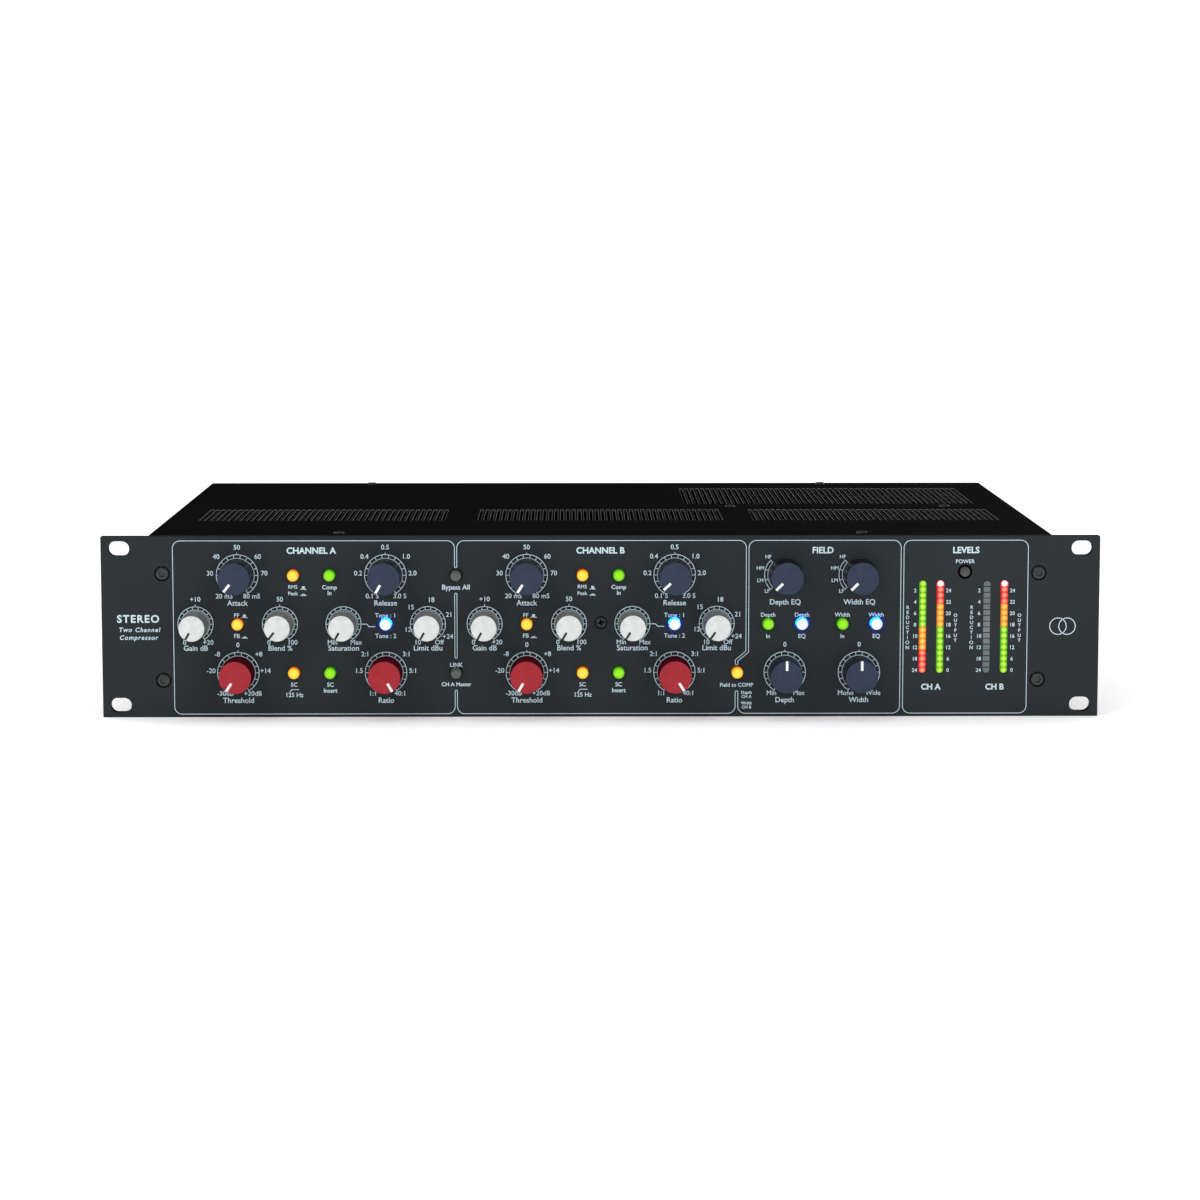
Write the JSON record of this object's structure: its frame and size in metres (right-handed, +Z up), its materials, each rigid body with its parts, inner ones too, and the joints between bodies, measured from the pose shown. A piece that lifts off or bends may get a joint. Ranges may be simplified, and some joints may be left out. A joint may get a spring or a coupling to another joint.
{
  "type": "rack compressor",
  "caption": "Stereo rack compressor: slotted ears on a flat panel with rotary knobs, lit push buttons and light bar meters, in a shallow vented case with rear sockets.",
  "frame": {"origin": "centre of the rack slot pattern, on the rear face of the front panel", "axes": "+X to the right along the panel as seen from the front, +Y from the panel to the rear, +Z up"},
  "size_m": [0.4826, 0.3318, 0.0882],
  "materials": {
    "panel_anodised": "fine satin, slate grey anodised",
    "panel_print": "pale grey screen print",
    "case_paint": "fine black powder coat",
    "black_steel": "black oxide",
    "plated_steel": "zinc plated",
    "control_body": "satin metal can",
    "black_moulding": "satin black moulding",
    "circuit_board": "green solder mask",
    "transformer_can": "satin drawn can",
    "toroid_winding": "glossy yellow tape over copper",
    "connector_shell": "black die-cast, silver pins",
    "brass_post": "plain brass",
    "meter_lens": "clear light bar over coloured lamps",
    "knob_silver": "satin white-grey face, grey skirt",
    "knob_blue": "satin slate blue, white pointer",
    "knob_red": "satin red, white pointer",
    "lamp_amber": "translucent cap lit amber",
    "lamp_green": "translucent cap lit green",
    "lamp_white": "translucent cap lit blue-white",
    "lamp_unlit": "translucent grey cap, unlit",
    "button_black": "satin black"
  },
  "bodies": {
    "chassis": {"front_panel": "panel_anodised", "panel_screws": "black_steel", "chassis_tray": "case_paint", "top_cover": "case_paint", "rear_panel": "case_paint", "case_screws": "black_steel", "potentiometers": "control_body", "pot_nuts": "plated_steel", "push_switches": "black_moulding", "control_board": "circuit_board", "meter_lenses": "meter_lens", "main_board": "circuit_board", "audio_transformers": "transformer_can", "mains_transformer": "toroid_winding", "power_board": "circuit_board", "psu_bracket": "plated_steel", "xlr_sockets": "connector_shell", "jack_sockets": "black_moulding", "mains_inlet": "black_moulding", "board_standoffs": "brass_post"},
    "gain_knob_a": {"gain_knob_a": "knob_silver"},
    "attack_knob_a": {"attack_knob_a": "knob_blue"},
    "blend_knob_a": {"blend_knob_a": "knob_silver"},
    "threshold_knob_a": {"threshold_knob_a": "knob_red"},
    "saturation_knob_a": {"saturation_knob_a": "knob_silver"},
    "release_knob_a": {"release_knob_a": "knob_blue"},
    "ratio_knob_a": {"ratio_knob_a": "knob_red"},
    "limit_knob_a": {"limit_knob_a": "knob_silver"},
    "gain_knob_b": {"gain_knob_b": "knob_silver"},
    "attack_knob_b": {"attack_knob_b": "knob_blue"},
    "blend_knob_b": {"blend_knob_b": "knob_silver"},
    "threshold_knob_b": {"threshold_knob_b": "knob_red"},
    "saturation_knob_b": {"saturation_knob_b": "knob_silver"},
    "release_knob_b": {"release_knob_b": "knob_blue"},
    "ratio_knob_b": {"ratio_knob_b": "knob_red"},
    "limit_knob_b": {"limit_knob_b": "knob_silver"},
    "depth_eq_knob": {"depth_eq_knob": "knob_blue"},
    "width_eq_knob": {"width_eq_knob": "knob_blue"},
    "depth_knob": {"depth_knob": "knob_blue"},
    "width_knob": {"width_knob": "knob_blue"},
    "topology_button_a": {"topology_button_a": "lamp_amber"},
    "detector_button_a": {"detector_button_a": "lamp_amber"},
    "comp_button_a": {"comp_button_a": "lamp_green"},
    "filter_button_a": {"filter_button_a": "lamp_amber"},
    "insert_button_a": {"insert_button_a": "lamp_green"},
    "saturation_button_a": {"saturation_button_a": "lamp_white"},
    "topology_button_b": {"topology_button_b": "lamp_amber"},
    "detector_button_b": {"detector_button_b": "lamp_amber"},
    "comp_button_b": {"comp_button_b": "lamp_green"},
    "filter_button_b": {"filter_button_b": "lamp_amber"},
    "insert_button_b": {"insert_button_b": "lamp_green"},
    "saturation_button_b": {"saturation_button_b": "lamp_white"},
    "bypass_button": {"bypass_button": "lamp_unlit"},
    "link_button": {"link_button": "lamp_unlit"},
    "stereo_comp_button": {"stereo_comp_button": "lamp_amber"},
    "depth_in_button": {"depth_in_button": "lamp_green"},
    "depth_eq_button": {"depth_eq_button": "lamp_white"},
    "width_in_button": {"width_in_button": "lamp_green"},
    "width_eq_button": {"width_eq_button": "lamp_white"},
    "power_button": {"power_button": "button_black"}
  },
  "joints": [
    {"name": "gain_turn_a", "type": "hinge", "parent": "chassis", "child": "gain_knob_a", "pos_m": [-0.196, -0.012, 0.0014], "axis": [0, 1, 0], "range_deg": [0, 300]},
    {"name": "attack_turn_a", "type": "hinge", "parent": "chassis", "child": "attack_knob_a", "pos_m": [-0.1756, -0.012, 0.02515], "axis": [0, 1, 0], "range_deg": [-9, 291]},
    {"name": "blend_turn_a", "type": "hinge", "parent": "chassis", "child": "blend_knob_a", "pos_m": [-0.1552, -0.012, 0.0014], "axis": [0, 1, 0], "range_deg": [-9, 291]},
    {"name": "threshold_turn_a", "type": "hinge", "parent": "chassis", "child": "threshold_knob_a", "pos_m": [-0.1756, -0.012, -0.02235], "axis": [0, 1, 0], "range_deg": [-3, 297]},
    {"name": "saturation_turn_a", "type": "hinge", "parent": "chassis", "child": "saturation_knob_a", "pos_m": [-0.1245, -0.012, 0.0014], "axis": [0, 1, 0], "range_deg": [0, 300]},
    {"name": "release_turn_a", "type": "hinge", "parent": "chassis", "child": "release_knob_a", "pos_m": [-0.1041, -0.012, 0.02515], "axis": [0, 1, 0], "range_deg": [0, 300]},
    {"name": "ratio_turn_a", "type": "hinge", "parent": "chassis", "child": "ratio_knob_a", "pos_m": [-0.1041, -0.012, -0.02235], "axis": [0, 1, 0], "range_deg": [-300, 0]},
    {"name": "limit_turn_a", "type": "hinge", "parent": "chassis", "child": "limit_knob_a", "pos_m": [-0.0837, -0.012, 0.0014], "axis": [0, 1, 0], "range_deg": [0, 300]},
    {"name": "gain_turn_b", "type": "hinge", "parent": "chassis", "child": "gain_knob_b", "pos_m": [-0.0563, -0.012, 0.0014], "axis": [0, 1, 0], "range_deg": [0, 300]},
    {"name": "attack_turn_b", "type": "hinge", "parent": "chassis", "child": "attack_knob_b", "pos_m": [-0.0359, -0.012, 0.02515], "axis": [0, 1, 0], "range_deg": [-3, 297]},
    {"name": "blend_turn_b", "type": "hinge", "parent": "chassis", "child": "blend_knob_b", "pos_m": [-0.0155, -0.012, 0.0014], "axis": [0, 1, 0], "range_deg": [0, 300]},
    {"name": "threshold_turn_b", "type": "hinge", "parent": "chassis", "child": "threshold_knob_b", "pos_m": [-0.0359, -0.012, -0.02235], "axis": [0, 1, 0], "range_deg": [0, 300]},
    {"name": "saturation_turn_b", "type": "hinge", "parent": "chassis", "child": "saturation_knob_b", "pos_m": [0.0152, -0.012, 0.0014], "axis": [0, 1, 0], "range_deg": [-3, 297]},
    {"name": "release_turn_b", "type": "hinge", "parent": "chassis", "child": "release_knob_b", "pos_m": [0.0356, -0.012, 0.02515], "axis": [0, 1, 0], "range_deg": [-18, 282]},
    {"name": "ratio_turn_b", "type": "hinge", "parent": "chassis", "child": "ratio_knob_b", "pos_m": [0.0356, -0.012, -0.02235], "axis": [0, 1, 0], "range_deg": [-297, 3]},
    {"name": "limit_turn_b", "type": "hinge", "parent": "chassis", "child": "limit_knob_b", "pos_m": [0.056, -0.012, 0.0014], "axis": [0, 1, 0], "range_deg": [-6, 294]},
    {"name": "depth_eq_turn", "type": "hinge", "parent": "chassis", "child": "depth_eq_knob", "pos_m": [0.0891, -0.012, 0.02515], "axis": [0, 1, 0], "range_deg": [0, 90]},
    {"name": "width_eq_turn", "type": "hinge", "parent": "chassis", "child": "width_eq_knob", "pos_m": [0.1251, -0.012, 0.02515], "axis": [0, 1, 0], "range_deg": [0, 90]},
    {"name": "depth_turn", "type": "hinge", "parent": "chassis", "child": "depth_knob", "pos_m": [0.0891, -0.012, -0.02235], "axis": [0, 1, 0], "range_deg": [-150, 150]},
    {"name": "width_turn", "type": "hinge", "parent": "chassis", "child": "width_knob", "pos_m": [0.1251, -0.012, -0.02235], "axis": [0, 1, 0], "range_deg": [-150, 150]},
    {"name": "topology_press_a", "type": "slide", "parent": "chassis", "child": "topology_button_a", "axis": [0, 1, 0], "range_m": [0, 0.0025], "stiffness_N_per_m": 400, "springref_m": -0.001},
    {"name": "detector_press_a", "type": "slide", "parent": "chassis", "child": "detector_button_a", "axis": [0, 1, 0], "range_m": [0, 0.0025], "stiffness_N_per_m": 400, "springref_m": -0.001},
    {"name": "comp_press_a", "type": "slide", "parent": "chassis", "child": "comp_button_a", "axis": [0, 1, 0], "range_m": [0, 0.0025], "stiffness_N_per_m": 400, "springref_m": -0.001},
    {"name": "filter_press_a", "type": "slide", "parent": "chassis", "child": "filter_button_a", "axis": [0, 1, 0], "range_m": [0, 0.0025], "stiffness_N_per_m": 400, "springref_m": -0.001},
    {"name": "insert_press_a", "type": "slide", "parent": "chassis", "child": "insert_button_a", "axis": [0, 1, 0], "range_m": [0, 0.0025], "stiffness_N_per_m": 400, "springref_m": -0.001},
    {"name": "saturation_press_a", "type": "slide", "parent": "chassis", "child": "saturation_button_a", "axis": [0, 1, 0], "range_m": [0, 0.0025], "stiffness_N_per_m": 400, "springref_m": -0.001},
    {"name": "topology_press_b", "type": "slide", "parent": "chassis", "child": "topology_button_b", "axis": [0, 1, 0], "range_m": [0, 0.0025], "stiffness_N_per_m": 400, "springref_m": -0.001},
    {"name": "detector_press_b", "type": "slide", "parent": "chassis", "child": "detector_button_b", "axis": [0, 1, 0], "range_m": [0, 0.0025], "stiffness_N_per_m": 400, "springref_m": -0.001},
    {"name": "comp_press_b", "type": "slide", "parent": "chassis", "child": "comp_button_b", "axis": [0, 1, 0], "range_m": [0, 0.0025], "stiffness_N_per_m": 400, "springref_m": -0.001},
    {"name": "filter_press_b", "type": "slide", "parent": "chassis", "child": "filter_button_b", "axis": [0, 1, 0], "range_m": [0, 0.0025], "stiffness_N_per_m": 400, "springref_m": -0.001},
    {"name": "insert_press_b", "type": "slide", "parent": "chassis", "child": "insert_button_b", "axis": [0, 1, 0], "range_m": [0, 0.0025], "stiffness_N_per_m": 400, "springref_m": -0.001},
    {"name": "saturation_press_b", "type": "slide", "parent": "chassis", "child": "saturation_button_b", "axis": [0, 1, 0], "range_m": [0, 0.0025], "stiffness_N_per_m": 400, "springref_m": -0.001},
    {"name": "bypass_press", "type": "slide", "parent": "chassis", "child": "bypass_button", "axis": [0, 1, 0], "range_m": [0, 0.0025], "stiffness_N_per_m": 400, "springref_m": -0.001},
    {"name": "link_press", "type": "slide", "parent": "chassis", "child": "link_button", "axis": [0, 1, 0], "range_m": [0, 0.0025], "stiffness_N_per_m": 400, "springref_m": -0.001},
    {"name": "stereo_comp_press", "type": "slide", "parent": "chassis", "child": "stereo_comp_button", "axis": [0, 1, 0], "range_m": [0, 0.0025], "stiffness_N_per_m": 400, "springref_m": -0.001},
    {"name": "depth_in_press", "type": "slide", "parent": "chassis", "child": "depth_in_button", "axis": [0, 1, 0], "range_m": [0, 0.0025], "stiffness_N_per_m": 400, "springref_m": -0.001},
    {"name": "depth_eq_press", "type": "slide", "parent": "chassis", "child": "depth_eq_button", "axis": [0, 1, 0], "range_m": [0, 0.0025], "stiffness_N_per_m": 400, "springref_m": -0.001},
    {"name": "width_in_press", "type": "slide", "parent": "chassis", "child": "width_in_button", "axis": [0, 1, 0], "range_m": [0, 0.0025], "stiffness_N_per_m": 400, "springref_m": -0.001},
    {"name": "width_eq_press", "type": "slide", "parent": "chassis", "child": "width_eq_button", "axis": [0, 1, 0], "range_m": [0, 0.0025], "stiffness_N_per_m": 400, "springref_m": -0.001},
    {"name": "power_press", "type": "slide", "parent": "chassis", "child": "power_button", "axis": [0, 1, 0], "range_m": [0, 0.0025], "stiffness_N_per_m": 400, "springref_m": -0.001}
  ]
}
